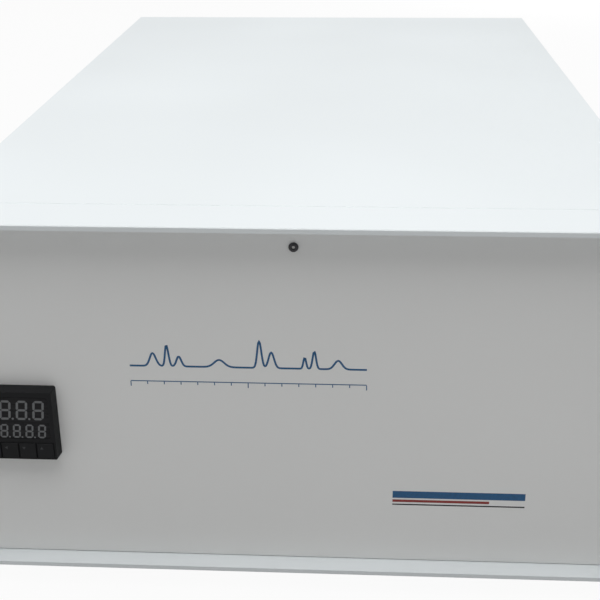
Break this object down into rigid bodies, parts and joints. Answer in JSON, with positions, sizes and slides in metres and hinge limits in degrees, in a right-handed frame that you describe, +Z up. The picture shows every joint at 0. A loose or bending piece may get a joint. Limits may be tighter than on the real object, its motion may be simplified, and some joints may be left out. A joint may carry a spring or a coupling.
{
  "type": "infrared gas spectrometer",
  "caption": "Bench infrared gas spectrometer: flat metal case with hinged lid, recessed front panel, small controller and a heated gas cell inside.",
  "frame": {"origin": "middle of the footprint at the underside of the feet", "axes": "+Z up, front panel faces -Y, +X to the right seen from the front"},
  "size_m": [0.43, 0.73, 0.246],
  "materials": {
    "case_paint": "fine satin powder coat",
    "panel_paint": "fine satin grey paint",
    "zinc_sheet": "bright zinc plate",
    "bright_screws": "bright zinc plate",
    "black_rubber": "matt rubber",
    "hinge_steel": "satin steel",
    "black_moulding": "lightly grained moulding",
    "key_rubber": "soft matt key",
    "display_window": "smoked window",
    "display_face": "unlit segments",
    "terminal_plastic": "moulded terminal block",
    "wire_sleeve": "braided sleeve",
    "port_steel": "turned stainless steel",
    "earth_brass": "plain brass",
    "anodised_plate": "dark anodised",
    "pivot_steel": "ground steel",
    "coil_copper": "lacquered copper wire",
    "gold_mirror": "gold coated",
    "infrared_glass": "polished window",
    "ceramic_source": "plain ceramic",
    "laser_housing": "clear anodised",
    "jacket_cloth": "glass cloth over wool",
    "circuit_board": "solder mask"
  },
  "bodies": {
    "case": {"arm_pivot": "pivot_steel", "base_tray": "zinc_sheet", "beamsplitter": "infrared_glass", "beamsplitter_mount": "anodised_plate", "bench_mirrors": "gold_mirror", "case_screws": "bright_screws", "cell_bolts": "bright_screws", "cell_end_caps": "port_steel", "cell_window": "infrared_glass", "collimator_mirror": "gold_mirror", "controller_bezel": "black_moulding", "controller_case": "black_moulding", "controller_clamp": "black_moulding", "controller_display": "display_face", "controller_terminals": "terminal_plastic", "controller_window": "display_window", "data_socket": "port_steel", "detector_module": "anodised_plate", "earth_stud": "earth_brass", "fan_frame": "black_moulding", "fan_guard": "hinge_steel", "front_bezel": "case_paint", "front_panel": "panel_paint", "gas_cell_body": "port_steel", "gas_lines": "port_steel", "gas_ports": "port_steel", "heating_jacket": "jacket_cloth", "hinge_leaves": "hinge_steel", "hinge_pins": "hinge_steel", "interferometer_base": "anodised_plate", "ir_source": "ceramic_source", "left_side_panel": "case_paint", "lid_catches": "black_moulding", "magnet_yoke": "pivot_steel", "main_board": "circuit_board", "mains_inlet": "black_moulding", "optical_plate": "anodised_plate", "panel_screw": "bright_screws", "plate_isolators": "black_rubber", "power_supply": "zinc_sheet", "rear_panel": "case_paint", "reference_laser": "laser_housing", "right_side_panel": "case_paint", "rubber_feet": "black_rubber", "solid_state_relay": "black_moulding", "source_housing": "anodised_plate", "wiring_loom": "wire_sleeve"},
    "lid": {"top_lid": "case_paint", "lid_hinge_leaves": "hinge_steel", "lid_gasket": "black_rubber"},
    "mode_key": {"key_mode": "key_rubber"},
    "shift_key": {"key_shift": "key_rubber"},
    "down_key": {"key_down": "key_rubber"},
    "up_key": {"key_up": "key_rubber"},
    "rocker": {"power_switch": "black_moulding"},
    "fuse_carrier": {"fuse_drawer": "black_moulding"},
    "rotor": {"fan_rotor": "black_moulding"},
    "mirror_arm": {"swing_arm": "anodised_plate", "corner_cubes": "gold_mirror", "voice_coil": "coil_copper"}
  },
  "joints": [
    {"name": "lid_hinge", "type": "hinge", "parent": "case", "child": "lid", "pos_m": [0, 0.3395, 0.238], "axis": [-1, 0, 0], "range_deg": [0, 100]},
    {"name": "mode_key_press", "type": "slide", "parent": "case", "child": "mode_key", "axis": [0, 1, 0], "range_m": [0, 0.0008], "stiffness_N_per_m": 1500, "springref_m": -0.0003},
    {"name": "shift_key_press", "type": "slide", "parent": "case", "child": "shift_key", "axis": [0, 1, 0], "range_m": [0, 0.0008], "stiffness_N_per_m": 1500, "springref_m": -0.0003},
    {"name": "down_key_press", "type": "slide", "parent": "case", "child": "down_key", "axis": [0, 1, 0], "range_m": [0, 0.0008], "stiffness_N_per_m": 1500, "springref_m": -0.0003},
    {"name": "up_key_press", "type": "slide", "parent": "case", "child": "up_key", "axis": [0, 1, 0], "range_m": [0, 0.0008], "stiffness_N_per_m": 1500, "springref_m": -0.0003},
    {"name": "switch_rock", "type": "hinge", "parent": "case", "child": "rocker", "pos_m": [-0.15, 0.334, 0.098], "axis": [0, 0, 1], "range_deg": [0, 16]},
    {"name": "fuse_pull", "type": "slide", "parent": "case", "child": "fuse_carrier", "axis": [0, 1, 0], "range_m": [0, 0.015]},
    {"name": "fan_spin", "type": "hinge", "parent": "case", "child": "rotor", "pos_m": [0.14, 0.321, 0.136], "axis": [0, 1, 0], "continuous": true},
    {"name": "mirror_swing", "type": "hinge", "parent": "case", "child": "mirror_arm", "pos_m": [0.032, 0.147, 0.084], "axis": [0, 0, 1], "range_deg": [-4, 4]}
  ]
}
